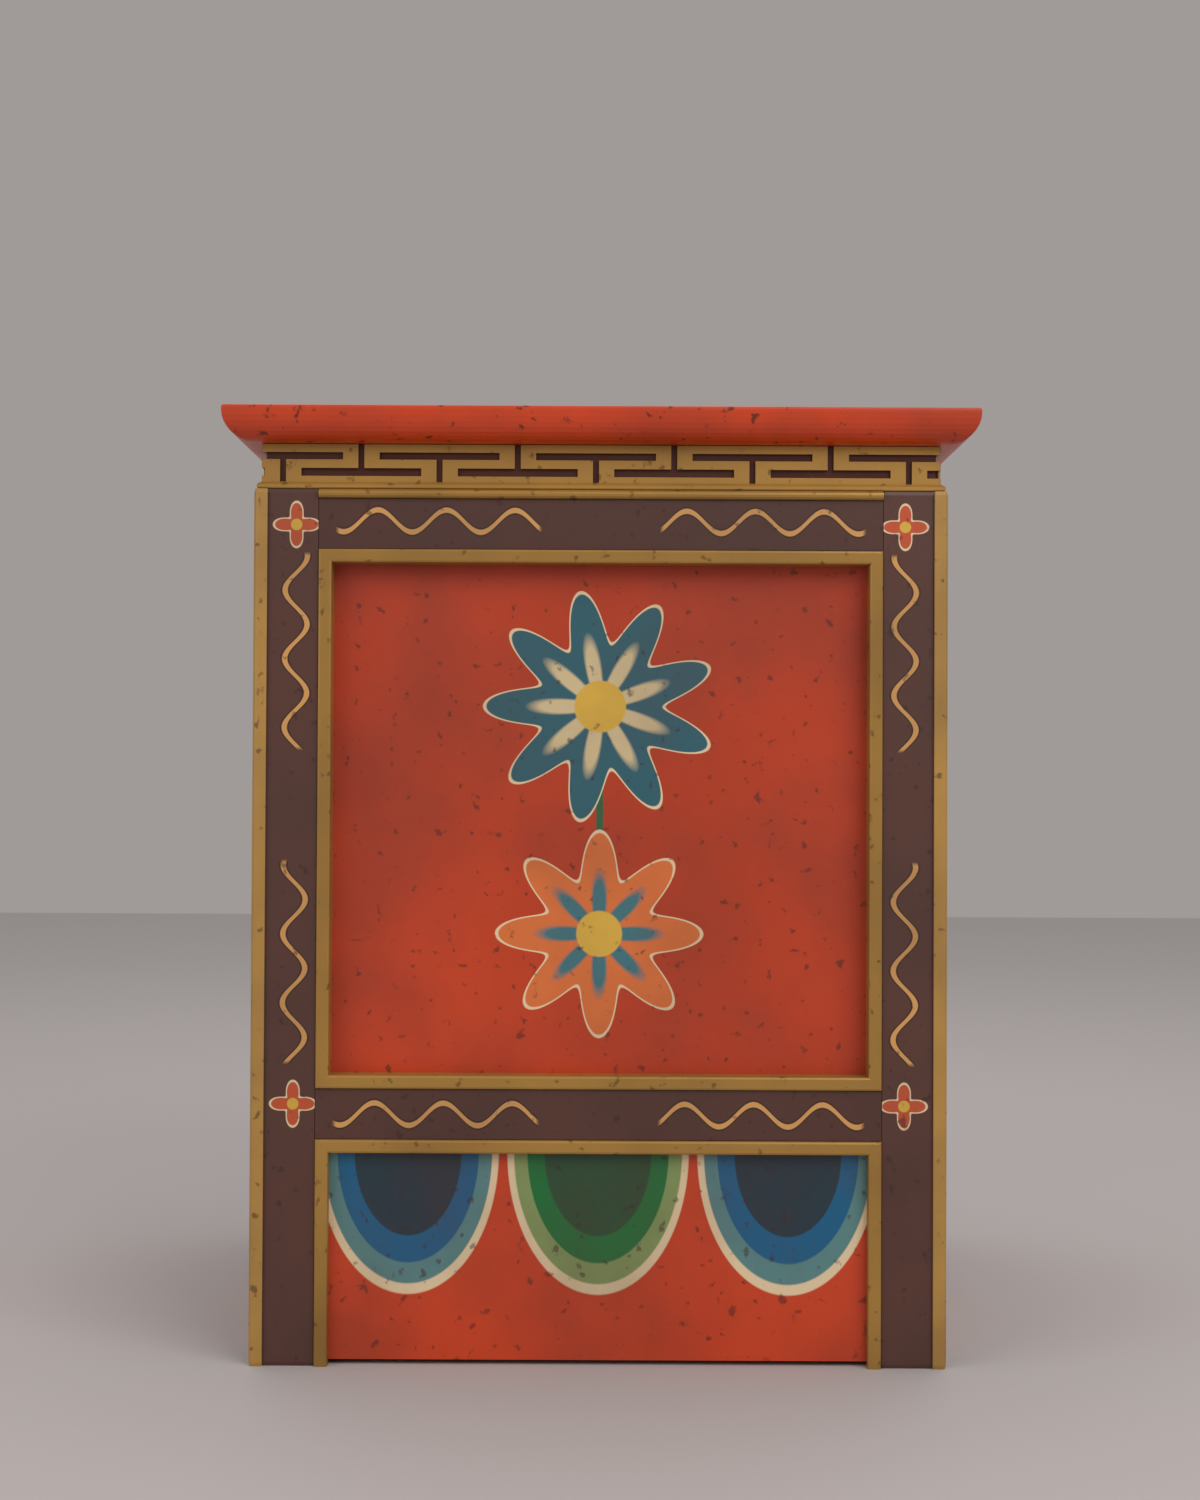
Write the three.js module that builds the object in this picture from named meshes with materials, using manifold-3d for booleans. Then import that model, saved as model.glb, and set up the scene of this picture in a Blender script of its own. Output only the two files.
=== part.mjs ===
// A painted pine cabinet with one door, of the Himalayan kind: four corner posts, rails, sunk panels with
// gold mouldings, a carved key-pattern frieze and an overhanging top. Millimetres, +Z up. The door faces -Y,
// the origin is on the floor under the middle of the body, and every side is drawn once, facing -Y, then turned.
import * as THREE from "three";
import { mergeVertices } from "three/addons/utils/BufferGeometryUtils.js";
import Module from "manifold-3d";

const wasm = await Module();
wasm.setup();

// Driving dimensions
const cabinetHeight = 500;
const bodySide = 364; // over the gold faces of the posts, the same both ways
const gap = 0.3; // between pieces that touch
const topBoard = { thickness: 18, overhang: 15, edgeCurve: 14.5, edgeRise: 15, arris: 1.4 };
const frieze = { height: 23.5, setBack: 3.7, thickness: 18, ledge: 2.3, ledgeRise: 2.5, grooveDepth: 2.2 };
const keyPattern = { period: 82.2, shift: -2.8, barLength: 63, stemWidth: 3.2 };
const keyRows = { upper: { low: 15.5, high: 19.3 }, lower: { low: 6.8, high: 11 } }; // above the frieze's foot
const post = { face: 33.8, goldBand: 7.5, sink: 1.7, arris: 2.5, edgeRound: 0.8, endSlope: 2, endDraw: 0.6 };
const rail = { inner: 24, bottomOfTop: 427, bottomOfMiddle: 118.3, topOfMiddle: 144.2 };
const bead = { height: 4.8, proud: 1.2, rebate: 3.4 };
const moulding = { width: 7.4, round: 1.2, proud: 0.3 };
const panel = { depth: 13.5, thickness: 8, groove: 6 };
const lowerBoard = { depth: 6, thickness: 10, clearance: 2.7, shoulder: 8 };
const floorBoard = { thickness: 10, top: 140 };
const door = { thickness: 16, clearance: 0.8, stile: 24, rail: 22, panelThickness: 6, mouldingProud: 1.7 };
const pivot = { pin: 2.5, hole: 2.8, inDoor: 14, inRail: 9 };
const pull = { height: 294.5, stand: 5.8, ring: 3.1, wire: 0.8, loop: 2.4, loopDrop: 3.5, widen: 1.9 };
const pullPlate = { radius: 8.5, thickness: 1.2, shank: 1.2, shankHole: 1.5, shankDepth: 4.3 };
const magnet = { x: [90, 118], low: 402, depth: 12.7, strike: 1, strikeX: [92, 116], strikeZ: [408, 420] };

// Sizes that follow from them
const half = bodySide / 2;
const postInside = half - post.face;
const field = half - post.sink; // the plum-brown face of posts and rails
const friezeFoot = cabinetHeight - topBoard.thickness - frieze.height;
const postTop = friezeFoot - gap;
const panelFront = half - panel.depth;
const panelBack = panelFront - panel.thickness;
const tongue = panel.groove - gap; // how far panels and tenons reach into a groove

const paint = {
  orange: { color: 0xd8481a, roughness: 0.42, metalness: 0 },
  panelOrange: { color: 0xd4481c, roughness: 0.5, metalness: 0 },
  plum: { color: 0x5a3430, roughness: 0.5, metalness: 0 },
  gold: { color: 0xb8893e, roughness: 0.38, metalness: 0.35 },
  pine: { color: 0xc9a06c, roughness: 0.7, metalness: 0 },
  brass: { color: 0x6d5634, roughness: 0.4, metalness: 0.9 },
  steel: { color: 0x8c8c8a, roughness: 0.35, metalness: 0.9 },
};

const cabinet = new THREE.Group();

function v2(x, y) {
  return new THREE.Vector2(x, y);
}

function v3(x, y, z) {
  return new THREE.Vector3(x, y, z);
}

function add(name, geometry, finish, turn = 0) {
  const mesh = new THREE.Mesh(geometry, new THREE.MeshStandardMaterial(paint[finish]));
  mesh.name = name;
  mesh.rotation.z = THREE.MathUtils.degToRad(turn);
  cabinet.add(mesh);
  return mesh;
}

// A closed mesh from points and faces, turned right side out
function shell(points, faces) {
  let volume = 0;
  for (const [a, b, c] of faces) volume += points[a].dot(points[b].clone().cross(points[c]));
  const index = volume < 0 ? faces.map(([a, b, c]) => [a, c, b]) : faces;
  const geometry = new THREE.BufferGeometry().setFromPoints(points);
  geometry.setIndex(index.flat());
  const flat = geometry.toNonIndexed();
  flat.computeVertexNormals();
  return flat;
}

// Joins rings of points, one ring after another, and caps the two ends unless the run closes on itself
function loft(rings, outline, closed = false) {
  const count = outline.length;
  const faces = [];
  for (let s = 0; s < rings.length - (closed ? 0 : 1); s++) {
    const here = s * count;
    const next = ((s + 1) % rings.length) * count;
    for (let i = 0; i < count; i++) {
      const j = (i + 1) % count;
      faces.push([here + i, here + j, next + j], [here + i, next + j, next + i]);
    }
  }
  if (!closed) {
    const last = (rings.length - 1) * count;
    const turnsLeft = THREE.ShapeUtils.area(outline) > 0;
    for (const [i, j, k] of THREE.ShapeUtils.triangulateShape(outline, [])) {
      const sameWay = THREE.ShapeUtils.area([outline[i], outline[j], outline[k]]) > 0 === turnsLeft;
      const cap = sameWay ? [i, j, k] : [k, j, i];
      faces.push([cap[2], cap[1], cap[0]], cap.map((n) => n + last));
    }
  }
  return shell(rings.flat(), faces);
}

// The outline moved inwards by a distance, each corner along its own mitre
function inset(outline, distance) {
  const sign = THREE.ShapeUtils.area(outline) > 0 ? 1 : -1;
  return outline.map((p, i) => {
    const before = outline[(i + outline.length - 1) % outline.length];
    const after = outline[(i + 1) % outline.length];
    const u = p.clone().sub(before).normalize();
    const w = after.clone().sub(p).normalize();
    const mitre = v2(-(u.y + w.y), u.x + w.x).normalize();
    const reach = mitre.dot(v2(-u.y, u.x));
    return p.clone().add(mitre.multiplyScalar((sign * distance) / reach));
  });
}

// An upright prism whose outline is drawn in by a little at chosen heights
function upright(outline, levels) {
  const rings = levels.map(([z, drawnIn]) => inset(outline, drawnIn).map((p) => v3(p.x, p.y, z)));
  return loft(rings, outline);
}

// Adds a quarter turn of short steps from one end of a corner to the other
function roundCorner(cornerX, cornerY, radius, startAngle, steps = 2) {
  return Array.from({ length: steps + 1 }, (_, i) => {
    const angle = THREE.MathUtils.degToRad(startAngle + (90 * i) / steps);
    return v2(cornerX + radius * Math.cos(angle), cornerY + radius * Math.sin(angle));
  });
}

function solidOf(geometry) {
  const bare = geometry.clone();
  bare.deleteAttribute("normal");
  if (bare.getAttribute("uv")) bare.deleteAttribute("uv");
  const merged = mergeVertices(bare, 1e-4);
  const mesh = new wasm.Mesh({
    numProp: 3,
    vertProperties: new Float32Array(merged.attributes.position.array),
    triVerts: new Uint32Array(merged.index.array),
  });
  return new wasm.Manifold(mesh);
}

function geometryOf(solid) {
  const mesh = solid.getMesh();
  const geometry = new THREE.BufferGeometry();
  geometry.setAttribute("position", new THREE.BufferAttribute(mesh.vertProperties.slice(), 3));
  geometry.setIndex(new THREE.BufferAttribute(mesh.triVerts.slice(), 1));
  const flat = geometry.toNonIndexed();
  flat.computeVertexNormals();
  return flat;
}

function join(geometries) {
  return geometryOf(geometries.map(solidOf).reduce((sum, one) => sum.add(one)));
}

function cut(geometry, tools) {
  return geometryOf(tools.map(solidOf).reduce((rest, tool) => rest.subtract(tool), solidOf(geometry)));
}

function box(x, y, z) {
  const geometry = new THREE.BoxGeometry(x[1] - x[0], y[1] - y[0], z[1] - z[0]);
  return geometry.translate((x[0] + x[1]) / 2, (y[0] + y[1]) / 2, (z[0] + z[1]) / 2);
}

// A bar along X whose outline is given as distance in front of the body's middle and height
function bar(outline, halfLength) {
  const ends = [-halfLength, halfLength];
  return loft(
    ends.map((x) => outline.map((p) => v3(x, -p.x, p.y))),
    outline,
  );
}

// Top board: flat above, its edge sweeping in below like the underside of a bowl
function topBoardShape() {
  const reach = half + topBoard.overhang;
  const square = [v2(-reach, -reach), v2(reach, -reach), v2(reach, reach), v2(-reach, reach)];
  const underside = cabinetHeight - topBoard.thickness + gap;
  const levels = Array.from({ length: 9 }, (_, i) => {
    const t = (Math.PI / 2) * (i / 8);
    return [underside + topBoard.edgeRise * (1 - Math.cos(t)), topBoard.edgeCurve * (1 - Math.sin(t))];
  });
  for (const t of [0, Math.PI / 4, Math.PI / 2]) {
    const arris = topBoard.arris;
    levels.push([cabinetHeight - arris * (1 - Math.sin(t)), arris * (1 - Math.cos(t))]);
  }
  return upright(square, levels);
}

// Frieze board: mitred ends, a small ledge at its foot and the key pattern cut into its face
function friezeShape() {
  const face = half - frieze.setBack;
  const back = face - frieze.thickness;
  const lip = face + frieze.ledge;
  const foot = friezeFoot;
  const top = foot + frieze.height;
  const outline = [
    v2(back, foot),
    v2(lip - 0.4, foot),
    v2(lip, foot + 0.5),
    v2(lip, foot + frieze.ledgeRise - 0.5),
    v2(lip - 0.5, foot + frieze.ledgeRise),
    v2(face, foot + frieze.ledgeRise + 1.2),
    v2(face, top),
    v2(back, top),
  ];
  const mitred = loft(
    [-1, 1].map((side) => outline.map((p) => v3(side * (p.x - gap / 2), -p.x, p.y))),
    outline,
  );
  const depth = [-(lip + 1), -(face - frieze.grooveDepth)];
  const tools = [];
  const { period, shift, barLength, stemWidth } = keyPattern;
  const { upper, lower } = keyRows;
  for (let k = -3; k <= 3; k++) {
    for (const [centre, row, stem] of [
      [shift + k * period, upper, [frieze.ledgeRise + 1.2, upper.low + 0.5]],
      [shift + (k + 0.5) * period, lower, [lower.high - 0.5, frieze.height + 1]],
    ]) {
      if (Math.abs(centre) - barLength / 2 > lip) continue;
      const along = [centre - barLength / 2, centre + barLength / 2];
      tools.push(box(along, depth, [foot + row.low, foot + row.high]));
      if (Math.abs(centre) > face) continue;
      const across = [centre - stemWidth / 2, centre + stemWidth / 2];
      tools.push(box(across, depth, [foot + stem[0], foot + stem[1]]));
    }
  }
  return cut(mitred, tools);
}

// Corner post, drawn at the front left corner: gold bands meet at the corner, a sunk field runs beside each
function postShape(frontGroove) {
  const { face, goldBand, sink, arris, edgeRound, endSlope, endDraw } = post;
  const plan = [
    ...roundCorner(arris, arris, arris, 180, 3),
    ...roundCorner(goldBand - edgeRound, edgeRound, edgeRound, 270),
    v2(goldBand, sink),
    v2(face, sink),
    v2(face, face),
    v2(sink, face),
    v2(sink, goldBand),
    ...roundCorner(edgeRound, goldBand - edgeRound, edgeRound, 90),
  ].map((p) => v2(p.x - half, p.y - half));
  const levels = [
    [0, endDraw],
    [endSlope, 0],
    [postTop - endSlope, 0],
    [postTop, endDraw],
  ];
  const groove = [-(panelFront + gap), -(panelBack - gap)];
  const reach = [-(postInside + panel.groove), -(postInside - 3)];
  const whole = [[-1, postTop + 1]];
  const clearOfDoor = [
    [-1, rail.topOfMiddle],
    [rail.bottomOfTop, postTop + 1],
  ];
  const tools = [
    ...(frontGroove === "x" ? clearOfDoor : whole).map((z) => box(reach, groove, z)),
    ...(frontGroove === "y" ? clearOfDoor : whole).map((z) => box(groove, reach, z)),
  ];
  return cut(upright(plan, levels), tools);
}

// Rail: a board between two posts, grooved for the panels above and below it, tenoned at both ends
function railShape({ low, high, grooveBelow, grooveAbove, rebate }) {
  const inner = half - rail.inner;
  const front = panelFront + gap;
  const back = panelBack - gap;
  const outline = [v2(inner, low)];
  if (grooveBelow) {
    outline.push(v2(back, low), v2(back, low + panel.groove), v2(front, low + panel.groove), v2(front, low));
  }
  outline.push(v2(field, low));
  if (rebate) {
    const shelf = high - bead.height - gap;
    outline.push(v2(field, shelf), v2(half - bead.rebate, shelf), v2(half - bead.rebate, high));
  } else {
    outline.push(v2(field, high));
  }
  if (grooveAbove) {
    outline.push(v2(front, high), v2(front, high - panel.groove), v2(back, high - panel.groove), v2(back, high));
  }
  outline.push(v2(inner, high));
  const length = postInside - gap;
  const tenonLow = low + (grooveBelow ? panel.groove + 1 : 1);
  const tenonHigh = high - (grooveAbove ? panel.groove + 1 : 4);
  const tenon = box([-length - tongue, length + tongue], [-panelFront, -panelBack], [tenonLow, tenonHigh]);
  return join([bar(outline, length), tenon]);
}

// Half-round bead that lies in the rebate along the top of an upper rail
function beadShape() {
  const high = postTop;
  const low = high - bead.height;
  const back = half - bead.rebate + gap;
  const radius = bead.height / 2;
  const curve = Array.from({ length: 7 }, (_, i) => {
    const angle = -Math.PI / 2 + (Math.PI * i) / 6;
    const reach = half + bead.proud - radius;
    return v2(reach + radius * Math.cos(angle), low + radius + radius * Math.sin(angle));
  });
  return bar([v2(back, low), ...curve, v2(back, high)], postInside - gap);
}

// A moulding carried round an opening with mitred corners. Corners are (x, z), listed round the opening's
// outside edge, and the section runs from that edge towards the opening.
function mouldingShape(corners, closed, front, back) {
  const { width, round } = moulding;
  const section = [
    v2(gap, back),
    ...roundCorner(gap + round, front - round, round, 90).reverse(),
    ...roundCorner(width - round, front - round, round, 0).reverse(),
    v2(width, back),
  ];
  const count = corners.length;
  const rings = corners.map((corner, i) => {
    const before = corners[(i + count - 1) % count];
    const after = corners[(i + 1) % count];
    const atStart = !closed && i === 0;
    const atEnd = !closed && i === count - 1;
    const u = (atStart ? after.clone().sub(corner) : corner.clone().sub(before)).normalize();
    const w = (atEnd ? corner.clone().sub(before) : after.clone().sub(corner)).normalize();
    const inwards = v2(-(u.y + w.y), u.x + w.x).normalize();
    const stretch = 1 / inwards.dot(v2(-u.y, u.x));
    return section.map((p) => {
      const at = corner.clone().add(inwards.clone().multiplyScalar(p.x * stretch));
      return v3(at.x, -p.y, at.y);
    });
  });
  return loft(rings, section, closed);
}

function openingCorners(x, low, high) {
  return [v2(x[0], low), v2(x[1], low), v2(x[1], high), v2(x[0], high)];
}

function panelShape() {
  const reach = postInside + tongue;
  return box([-reach, reach], [-panelFront, -panelBack], [rail.topOfMiddle - tongue, rail.bottomOfTop + tongue]);
}

function panelMouldingShape() {
  const corners = openingCorners([-postInside, postInside], rail.topOfMiddle, rail.bottomOfTop);
  return mouldingShape(corners, true, half + moulding.proud, panelFront + gap);
}

// Three sides only: its feet stand on the floor
function lowerMouldingShape() {
  const [x, top] = [postInside, rail.bottomOfMiddle];
  const corners = [v2(x, 0), v2(x, top), v2(-x, top), v2(-x, 0)];
  return mouldingShape(corners, false, half + moulding.proud, half - lowerBoard.depth + gap);
}

// Lower board: its plate stands between the posts, and a tongue behind it runs into their grooves
function lowerBoardShape() {
  const front = half - lowerBoard.depth;
  const length = postInside - gap;
  const top = rail.bottomOfMiddle - gap;
  const { thickness, clearance, shoulder } = lowerBoard;
  const plate = box([-length, length], [-front, thickness - front], [clearance, top]);
  const tongueHeights = [clearance + shoulder, top - shoulder];
  const reach = length + tongue;
  return join([plate, box([-reach, reach], [-panelFront, -panelBack], tongueHeights)]);
}

// Floor board, notched round the posts
function floorBoardShape() {
  const wide = half - rail.inner - gap;
  const narrow = postInside - gap;
  const heights = [floorBoard.top - floorBoard.thickness, floorBoard.top];
  return join([box([-wide, wide], [-narrow, narrow], heights), box([-narrow, narrow], [-wide, wide], heights)]);
}

function uprightRod(radius, x, y, heights) {
  const rod = new THREE.CylinderGeometry(radius, radius, heights[1] - heights[0], 16);
  return rod.rotateX(Math.PI / 2).translate(x, y, (heights[0] + heights[1]) / 2);
}

function levelRod(radius, x, z, depths) {
  const rod = new THREE.CylinderGeometry(radius, radius, depths[1] - depths[0], 24);
  return rod.translate(x, (depths[0] + depths[1]) / 2, z);
}

// The cabinet's own pieces
const turns = { front: 0, right: 90, back: 180, left: 270 }; // about Z, in degrees
const cornerTurns = { front_left: 0, front_right: 90, back_right: 180, back_left: 270 };
const besideDoor = { front_left: "x", front_right: "y" };

// The door turns on pins in its rounded left edge, at the middle of its thickness
const doorX = postInside - door.clearance;
const doorZ = [rail.topOfMiddle + door.clearance, rail.bottomOfTop - door.clearance];
const doorY = [-field, door.thickness - field];
const axis = { x: door.thickness / 2 - doorX, y: (doorY[0] + doorY[1]) / 2 };
const railHoles = {
  top: uprightRod(pivot.hole, axis.x, axis.y, [rail.bottomOfTop - 1, rail.bottomOfTop + pivot.inRail + gap]),
  middle: uprightRod(pivot.hole, axis.x, axis.y, [rail.topOfMiddle - pivot.inRail - gap, rail.topOfMiddle + 1]),
};

add("top_board", topBoardShape(), "orange");
for (const [corner, turn] of Object.entries(cornerTurns)) {
  add(`post_${corner}`, postShape(besideDoor[corner]), "plum", turn);
}
for (const [side, turn] of Object.entries(turns)) {
  const atDoor = side === "front";
  const upper = { low: rail.bottomOfTop, high: postTop, grooveBelow: !atDoor, rebate: true };
  const middle = { low: rail.bottomOfMiddle, high: rail.topOfMiddle, grooveAbove: !atDoor };
  add(`frieze_${side}`, friezeShape(), "gold", turn);
  add(`bead_${side}`, beadShape(), "gold", turn);
  add(`top_rail_${side}`, atDoor ? cut(railShape(upper), [railHoles.top]) : railShape(upper), "plum", turn);
  add(`mid_rail_${side}`, atDoor ? cut(railShape(middle), [railHoles.middle]) : railShape(middle), "plum", turn);
  add(`lower_board_${side}`, lowerBoardShape(), "panelOrange", turn);
  add(`lower_moulding_${side}`, lowerMouldingShape(), "gold", turn);
  if (!atDoor) {
    add(`panel_${side}`, panelShape(), "panelOrange", turn);
    add(`moulding_${side}`, panelMouldingShape(), "gold", turn);
  }
}
add("floor_board", floorBoardShape(), "pine");
const catchFront = doorY[1] + magnet.strike + 2 * gap;
add("door_catch", box(magnet.x, [catchFront, catchFront + magnet.depth], [magnet.low, rail.bottomOfTop - gap]), "steel");

// Door
const stileInside = doorX - door.stile;
const doorRailReach = stileInside - gap;
const doorOpening = [doorZ[0] + door.rail, doorZ[1] - door.rail];
const pullX = doorX - door.stile / 2;
const shankHole = levelRod(pullPlate.shankHole, pullX, pull.height, [-half - 1, pullPlate.shankDepth + gap - field]);

function hingeStileShape() {
  const radius = door.thickness / 2;
  const edge = Array.from({ length: 13 }, (_, i) => {
    const angle = Math.PI / 2 + (Math.PI * i) / 12;
    return v2(axis.x + radius * Math.cos(angle), axis.y + radius * Math.sin(angle));
  });
  const plan = [...edge, v2(-stileInside, doorY[0]), v2(-stileInside, doorY[1])];
  const pinDepth = pivot.inDoor + gap;
  return cut(
    upright(
      plan,
      doorZ.map((z) => [z, 0]),
    ),
    [
      uprightRod(pivot.hole, axis.x, axis.y, [doorZ[1] - pinDepth, doorZ[1] + 1]),
      uprightRod(pivot.hole, axis.x, axis.y, [doorZ[0] - 1, doorZ[0] + pinDepth]),
    ],
  );
}

add("door_hinge_stile", hingeStileShape(), "plum");
add("door_meeting_stile", cut(box([stileInside, doorX], doorY, doorZ), [shankHole]), "plum");
add("door_top_rail", box([-doorRailReach, doorRailReach], doorY, [doorOpening[1], doorZ[1]]), "plum");
add("door_bottom_rail", box([-doorRailReach, doorRailReach], doorY, [doorZ[0], doorOpening[0]]), "plum");
const doorPanelY = [axis.y, axis.y + door.panelThickness];
const doorPanelZ = [doorOpening[0] + gap, doorOpening[1] - gap];
add("door_panel", box([-doorRailReach, doorRailReach], doorPanelY, doorPanelZ), "panelOrange");
const doorCorners = openingCorners([-stileInside, stileInside], ...doorOpening);
add("door_moulding", mouldingShape(doorCorners, true, field + door.mouldingProud, gap - axis.y), "gold");
const topPin = [doorZ[1] - pivot.inDoor, rail.bottomOfTop + pivot.inRail];
const bottomPin = [rail.topOfMiddle - pivot.inRail, doorZ[0] + pivot.inDoor];
add("door_pivot_top", uprightRod(pivot.pin, axis.x, axis.y, topPin), "steel");
add("door_pivot_bottom", uprightRod(pivot.pin, axis.x, axis.y, bottomPin), "steel");
const strikeY = [doorY[1] + gap, doorY[1] + gap + magnet.strike];
add("door_strike", box(magnet.strikeX, strikeY, magnet.strikeZ), "steel");

// Drop pull: a plate, a ring on a shank, and a leaf-shaped drop that hangs in the ring
const ringY = -field - pull.stand;
const plateY = [-field - gap - pullPlate.thickness, -field - gap];
const ring = new THREE.TorusGeometry(pull.ring, pull.wire, 8, 24).rotateY(Math.PI / 2);
const shank = levelRod(pullPlate.shank, pullX, pull.height, [ringY + pull.ring - pull.wire / 2, pullPlate.shankDepth - field]);
add("pull_plate", cut(levelRod(pullPlate.radius, pullX, pull.height, plateY), [shankHole]), "brass");
add("pull_staple", join([ring.translate(pullX, ringY, pull.height), shank]), "brass");

function dropShape() {
  const outline = Array.from({ length: 16 }, (_, i) => {
    const angle = (2 * Math.PI * i) / 16;
    return v2(pull.widen * Math.cos(angle), Math.sin(angle));
  });
  const profile = [
    [0.4, -6],
    [1, -6.4],
    [1.3, -9],
    [2.6, -13],
    [3.2, -20],
    [1.8, -27],
    [1.1, -30],
    [2, -32.5],
    [0.9, -35],
    [1.3, -37],
    [0.4, -39],
  ]; // radius, and height from the middle of the ring
  const rings = profile.map(([radius, z]) =>
    outline.map((p) => v3(pullX + radius * p.x, ringY + radius * p.y, pull.height + z)),
  );
  const eye = new THREE.TorusGeometry(pull.loop, pull.wire, 8, 20).rotateX(Math.PI / 2);
  return join([eye.translate(pullX, ringY, pull.height - pull.loopDrop), loft(rings, outline)]);
}

add("pull_pendant", dropShape(), "brass");

export default cabinet;
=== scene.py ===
import math
import bpy
from mathutils import Matrix, Vector

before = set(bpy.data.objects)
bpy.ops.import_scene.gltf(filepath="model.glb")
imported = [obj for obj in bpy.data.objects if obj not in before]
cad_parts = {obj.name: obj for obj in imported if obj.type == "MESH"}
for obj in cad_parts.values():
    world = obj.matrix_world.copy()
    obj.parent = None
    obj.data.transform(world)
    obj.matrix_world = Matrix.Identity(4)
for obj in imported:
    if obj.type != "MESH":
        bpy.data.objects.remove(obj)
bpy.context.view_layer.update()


# A socket that takes part in Python sums: each operator adds one Math node
class Wire:
    def __init__(self, tree, socket):
        self.tree = tree
        self.socket = socket

    def math(self, operation, other=0.0, swapped=False):
        first, second = (other, self) if swapped else (self, other)
        return make(self.tree, "ShaderNodeMath", {"operation": operation}, {0: first, 1: second})

    def __add__(self, other):
        return self.math("ADD", other)

    def __radd__(self, other):
        return self.math("ADD", other)

    def __sub__(self, other):
        return self.math("SUBTRACT", other)

    def __rsub__(self, other):
        return self.math("SUBTRACT", other, swapped=True)

    def __mul__(self, other):
        return self.math("MULTIPLY", other)

    def __rmul__(self, other):
        return self.math("MULTIPLY", other)


def make(tree, kind, settings=None, inputs=None, output=0):
    node = tree.nodes.new(kind)
    for name, value in (settings or {}).items():
        setattr(node, name, value)
    for key, value in (inputs or {}).items():
        if isinstance(value, Wire):
            tree.links.new(value.socket, node.inputs[key])
        else:
            node.inputs[key].default_value = value
    return Wire(tree, node.outputs[output])


def mixColours(factor, first, second):
    inputs = {0: factor, 6: first, 7: second}
    return make(factor.tree, "ShaderNodeMix", {"data_type": "RGBA"}, inputs, output=2)


def above(value, edge, soft):  # 0 below the edge, 1 above it
    inputs = {"Value": value, "From Min": edge - soft, "From Max": edge + soft}
    return make(value.tree, "ShaderNodeMapRange", None, inputs)


def paint(red, green, blue):  # screen values of 0 to 255 as a linear colour
    def linear(c):
        c = c / 255
        return c / 12.92 if c <= 0.04045 else ((c + 0.055) / 1.055) ** 2.4
    return (linear(red), linear(green), linear(blue), 1.0)


def noise(tree, place, scale, detail=4.0):
    return make(tree, "ShaderNodeTexNoise", None, {"Vector": place, "Scale": scale, "Detail": detail})


# Every finish starts here: a surface with its places, and the worn look that all of them share
def finish(name, colourOf, wear):
    material = bpy.data.materials.new(name)
    material.use_nodes = True
    tree = material.node_tree
    tree.nodes.clear()
    place = make(tree, "ShaderNodeTexCoord", output=3)
    x = make(tree, "ShaderNodeSeparateXYZ", None, {0: place}, 0)
    y = make(tree, "ShaderNodeSeparateXYZ", None, {0: place}, 1)
    z = make(tree, "ShaderNodeSeparateXYZ", None, {0: place}, 2)
    clouds = noise(tree, place, wear["cloudScale"])
    specks = noise(tree, place, wear["speckScale"], 6.0)
    colour = colourOf(tree, place, x, y, z)
    colour = mixColours(above(clouds, 0.55, 0.16) * wear["clouds"], colour, wear["dirt"])
    colour = mixColours(above(specks, wear["speckEdge"], 0.03) * wear["specks"], colour, wear["chip"])
    rough = wear["roughness"] + (clouds - 0.5) * 0.35
    heightMap = clouds * 0.5 + specks * 0.5
    bump = {"Strength": wear["bump"], "Distance": 0.0006, "Height": heightMap}
    normal = make(tree, "ShaderNodeBump", None, bump)
    sockets = {"Base Color": colour, "Roughness": rough, "Normal": normal, "Metallic": wear["metallic"]}
    surface = make(tree, "ShaderNodeBsdfPrincipled", None, sockets)
    output = tree.nodes.new("ShaderNodeOutputMaterial")
    tree.links.new(surface.socket, output.inputs["Surface"])
    return material


def wornLook(**changes):
    look = {
        "cloudScale": 14.0, "clouds": 0.35, "dirt": paint(70, 26, 14),
        "speckScale": 160.0, "speckEdge": 0.66, "specks": 0.6, "chip": paint(60, 22, 14),
        "roughness": 0.45, "bump": 0.35, "metallic": 0.0,
    }
    look.update(changes)
    return look


woodColours = {
    "orange": paint(214, 66, 16), "panel": paint(198, 60, 14), "plum": paint(86, 50, 40),
    "gold": paint(178, 134, 62), "pine": paint(196, 156, 104), "brass": paint(112, 88, 52),
    "steel": paint(140, 140, 138), "groove": paint(74, 24, 14), "cream": paint(225, 200, 160),
}


def plain(colour):
    def colourOf(tree, place, x, y, z):
        slow = noise(tree, place, 5.0, 2.0)
        darker = tuple(c * 0.72 for c in colour[:3]) + (1.0,)
        return mixColours(above(slow, 0.5, 0.2), colour, darker)
    return colourOf


outside = {"paintStops": 0.1675}  # paint is on the outer faces only, and the wood behind them is bare


def paintedOutside(colour, x, y):
    outer = x.math("ABSOLUTE").math("MAXIMUM", y.math("ABSOLUTE"))
    return mixColours(above(outer, outside["paintStops"], 0.0003), woodColours["pine"], colour)


postPlan = {
    "bandStart": 0.1747,  # the gold band runs from here out to the corner
    "middle": 0.1596, "flowerHeights": [0.4394, 0.1364], "flowerRadius": 0.0125,
    "vineHeights": [(0.158, 0.263), (0.322, 0.424)],
}
vine = {"swing": 0.0058, "wave": 0.036, "halfWidth": 0.0014, "rim": 0.0009}


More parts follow.
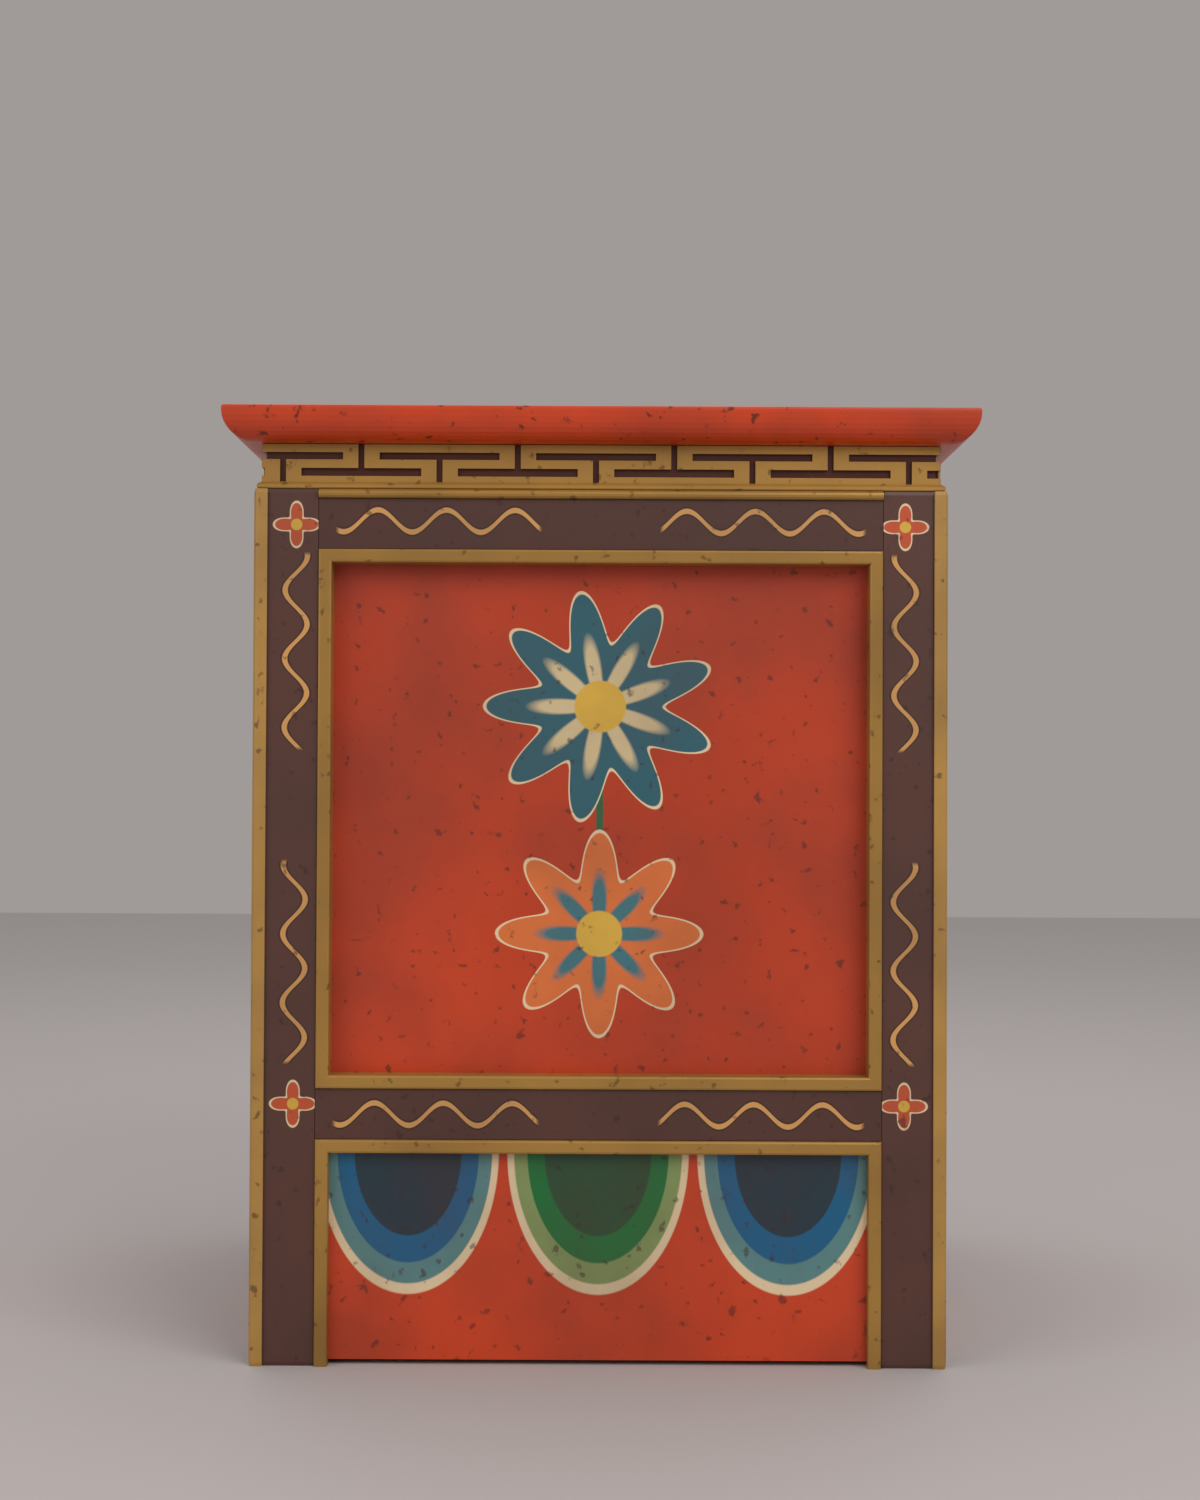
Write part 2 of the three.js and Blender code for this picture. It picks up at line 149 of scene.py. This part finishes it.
# A scroll that swings from side to side along a piece: a pale stem between dark rims
def vineOn(base, along, across, middle, low, high):
    swing = (along * (2 * math.pi / vine["wave"])).math("SINE") * vine["swing"]
    away = (across - middle - swing).math("ABSOLUTE")
    inside = above(along, low, 0.001) * (1 - above(along, high, 0.001))
    rim = (1 - above(away, vine["halfWidth"] + vine["rim"], 0.0002)) * inside
    core = (1 - above(away, vine["halfWidth"], 0.0002)) * inside
    return mixColours(core, mixColours(rim, base, paint(52, 26, 20)), paint(206, 150, 84))


def postColour(tree, place, x, y, z):
    nearer = x.math("ABSOLUTE").math("MINIMUM", y.math("ABSOLUTE"))
    colour = mixColours(above(nearer, postPlan["bandStart"], 0.0002), woodColours["plum"], woodColours["gold"])
    for low, high in postPlan["vineHeights"]:
        colour = vineOn(colour, z, nearer, postPlan["middle"], low, high)
    for height in postPlan["flowerHeights"]:
        side = nearer - postPlan["middle"]
        up = z - height
        reach = (side * side + up * up).math("SQRT")
        wave = (up.math("ARCTAN2", side) * 4.0).math("COSINE")
        edge = postPlan["flowerRadius"] * (0.72 + wave * 0.28)
        colour = mixColours(above(edge - reach, 0.0, 0.0002), colour, woodColours["cream"])
        colour = mixColours(above(edge - reach, 0.0012, 0.0002), colour, paint(190, 78, 40))
        colour = mixColours(1 - above(reach, 0.003, 0.0002), colour, paint(212, 168, 60))
    return colour


railPlan = {"topMiddle": 0.4415, "lowMiddle": 0.1312, "start": 0.032, "end": 0.138}


def railColour(tree, place, x, y, z):
    along = x.math("ABSOLUTE").math("MINIMUM", y.math("ABSOLUTE"))
    colour = plain(woodColours["plum"])(tree, place, x, y, z)
    for middle in (railPlan["topMiddle"], railPlan["lowMiddle"]):
        colour = vineOn(colour, along, z, middle, railPlan["start"], railPlan["end"])
    return paintedOutside(colour, x, y)


friezePlan = {"grooveFace": 0.1774}  # carved ground lies behind this


def friezeColour(tree, place, x, y, z):
    outer = x.math("ABSOLUTE").math("MAXIMUM", y.math("ABSOLUTE"))
    return mixColours(above(outer, friezePlan["grooveFace"], 0.0003), woodColours["groove"], woodColours["gold"])


# Cloud-shaped lappets under the middle rail, blue and green by turns, in three bands and a cream line
lappets = {
    "pitch": 0.0995, "hangFrom": 0.111, "squash": 0.64,
    "green": [paint(35, 75, 45), paint(0, 110, 50), paint(130, 150, 90)],
    "blue": [paint(28, 50, 62), paint(0, 90, 130), paint(85, 130, 130)],
    "bandEdges": [0.028, 0.037, 0.044, 0.0475],
}


def lappetColour(alongX):
    def colourOf(tree, place, x, y, z):
        along = x if alongX else y
        pitch = lappets["pitch"]
        wrapped = make(tree, "ShaderNodeMath", {"operation": "WRAP"}, {0: along, 1: pitch / 2, 2: -pitch / 2})
        cell = (along + pitch / 2).math("DIVIDE", pitch).math("FLOOR")
        odd = (cell.math("ABSOLUTE")).math("MODULO", 2.0)
        drop = (lappets["hangFrom"] - z) * lappets["squash"]
        reach = (wrapped * wrapped + drop * drop).math("SQRT")
        bands = [mixColours(odd, g, b) for g, b in zip(lappets["green"], lappets["blue"])]
        bands += [woodColours["cream"], woodColours["panel"]]
        colour = bands[0]
        for edge, band in zip(lappets["bandEdges"], bands[1:]):
            colour = mixColours(above(reach, edge, 0.0003), colour, band)
        return paintedOutside(colour, x, y)
    return colourOf


# Two lotus flowers on one stem, drawn round their centres by angle and distance
flowers = [
    {"height": 0.345, "radius": 0.062, "petals": 9.0, "outer": paint(40, 92, 104), "inner": paint(206, 184, 140)},
    {"height": 0.225, "radius": 0.055, "petals": 8.0, "outer": paint(214, 110, 50), "inner": paint(60, 112, 120)},
]
stem = {"halfWidth": 0.0018, "low": 0.235, "high": 0.335, "colour": paint(40, 96, 60)}


def lotusColour(alongX):
    def colourOf(tree, place, x, y, z):
        along = x if alongX else y
        colour = plain(woodColours["panel"])(tree, place, x, y, z)
        onStem = (1 - above(along.math("ABSOLUTE"), stem["halfWidth"], 0.0002)) * above(z, stem["low"], 0.001)
        colour = mixColours(onStem * (1 - above(z, stem["high"], 0.001)), colour, stem["colour"])
        for flower in flowers:
            up = z - flower["height"]
            reach = (along * along + up * up).math("SQRT")
            wave = (up.math("ARCTAN2", along) * flower["petals"]).math("COSINE")
            edge = flower["radius"] * 0.78 + wave * (flower["radius"] * 0.22)
            inside = above(edge - reach, 0.0, 0.0003)
            colour = mixColours(inside, colour, woodColours["cream"])
            colour = mixColours(above(edge - reach, 0.0018, 0.0003), colour, flower["outer"])
            colour = mixColours(above(edge - reach, flower["radius"] * 0.42, 0.004), colour, flower["inner"])
            seeds = 1 - above(reach, flower["radius"] * 0.22, 0.0004)
            colour = mixColours(seeds, colour, paint(212, 168, 60))
        return paintedOutside(colour, x, y)
    return colourOf


print("finishes")
goldLook = wornLook(metallic=0.3, roughness=0.4, dirt=paint(96, 62, 28), chip=paint(80, 48, 24))
metalLook = wornLook(metallic=0.9, roughness=0.42, dirt=paint(30, 26, 20), chip=paint(26, 22, 18), clouds=0.7)
orangeFinish = finish("orange_lacquer", plain(woodColours["orange"]), wornLook(roughness=0.34, specks=0.8))
plumFinish = finish("plum_paint", plain(woodColours["plum"]), wornLook(dirt=paint(40, 22, 18)))
goldFinish = finish("worn_gold", plain(woodColours["gold"]), goldLook)
postFinish = finish("post_paint", postColour, wornLook(dirt=paint(44, 26, 18), chip=paint(48, 26, 18)))
friezeFinish = finish("carved_gold", friezeColour, goldLook)
railFinish = finish("rail_paint", railColour, wornLook(dirt=paint(40, 22, 18)))
pineFinish = finish("bare_pine", plain(woodColours["pine"]), wornLook(roughness=0.65, clouds=0.15, specks=0.1))
brassFinish = finish("old_brass", plain(woodColours["brass"]), metalLook)
steelFinish = finish("plain_steel", plain(woodColours["steel"]), wornLook(metallic=0.9, roughness=0.35, clouds=0.1))
lowerFinish = {flag: finish(f"lappets_{flag}", lappetColour(flag), wornLook()) for flag in (True, False)}
panelFinish = {flag: finish(f"lotus_{flag}", lotusColour(flag), wornLook()) for flag in (True, False)}


def finishFor(node):
    alongX = node.endswith(("front", "back")) or node == "door_panel"
    if node == "top_board":
        return orangeFinish
    if node.startswith("post_"):
        return postFinish
    if node.startswith("frieze_"):
        return friezeFinish
    if node.startswith(("top_rail_", "mid_rail_")):
        return railFinish
    if node.startswith("lower_board"):
        return lowerFinish[alongX]
    if "panel" in node:
        return panelFinish[alongX]
    if "moulding" in node or node.startswith("bead_"):
        return goldFinish
    if node.startswith("pull_"):
        return brassFinish
    if node in ("door_catch", "door_strike") or "pivot" in node:
        return steelFinish
    if node == "floor_board":
        return pineFinish
    return plumFinish


for nodeName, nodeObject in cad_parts.items():
    if not nodeObject.material_slots:
        nodeObject.data.materials.append(None)
    nodeObject.material_slots[0].link = "OBJECT"
    nodeObject.material_slots[0].material = finishFor(nodeName)

print("studio")
studio = {"floor": paint(184, 176, 174), "backdrop": paint(160, 155, 152), "ambient": 0.55, "floorHalf": 4.0}
bpy.ops.mesh.primitive_plane_add(size=2 * studio["floorHalf"])
floor = bpy.context.object
floor.name = "studio_floor"
floorPaint = bpy.data.materials.new("floor_paint")
floorPaint.use_nodes = True
floorPaint.node_tree.nodes["Principled BSDF"].inputs["Base Color"].default_value = studio["floor"]
floorPaint.node_tree.nodes["Principled BSDF"].inputs["Roughness"].default_value = 0.7
floor.data.materials.append(floorPaint)

world = bpy.data.worlds.new("studio_air")
bpy.context.scene.world = world
world.use_nodes = True
air = world.node_tree
air.nodes.clear()
isCamera = make(air, "ShaderNodeLightPath", output=0)
isGlossy = make(air, "ShaderNodeLightPath", output=3)
seen = isCamera.math("MAXIMUM", isGlossy)
ambient = (studio["ambient"],) * 3 + (1.0,)
sky = make(air, "ShaderNodeBackground", None, {"Color": mixColours(seen, ambient, studio["backdrop"])})
airOutput = air.nodes.new("ShaderNodeOutputWorld")
air.links.new(sky.socket, airOutput.inputs["Surface"])

lamps = [
    {"name": "key", "place": (-1.7, -1.1, 1.7), "power": 24.0, "size": 1.5},
    {"name": "fill", "place": (-1.5, 1.5, 1.2), "power": 10.0, "size": 1.5},
    {"name": "overhead", "place": (0.6, 0.0, 2.2), "power": 12.0, "size": 1.8},
]
aim = Vector((0.0, 0.0, 0.25))
for lamp in lamps:
    light = bpy.data.lights.new(lamp["name"], "AREA")
    light.energy = lamp["power"]
    light.size = lamp["size"]
    holder = bpy.data.objects.new(lamp["name"], light)
    bpy.context.collection.objects.link(holder)
    holder.location = lamp["place"]
    holder.rotation_euler = (aim - Vector(lamp["place"])).to_track_quat("-Z", "Y").to_euler()

print("camera")
shot = {"place": (-1.382, 0.0, 0.303), "lens": 55.1, "pitch": 0.9, "roll": 0.27}
cameraData = bpy.data.cameras.new("camera")
cameraData.lens = shot["lens"]
camera = bpy.data.objects.new("camera", cameraData)
bpy.context.collection.objects.link(camera)
camera.location = shot["place"]
pitch = math.radians(shot["pitch"])
facing = Vector((math.cos(pitch), 0.0, math.sin(pitch))).to_track_quat("-Z", "Y").to_matrix()
camera.rotation_euler = (facing @ Matrix.Rotation(math.radians(shot["roll"]), 3, "Z")).to_euler()
bpy.context.scene.camera = camera
bpy.context.scene.view_settings.view_transform = "Standard"
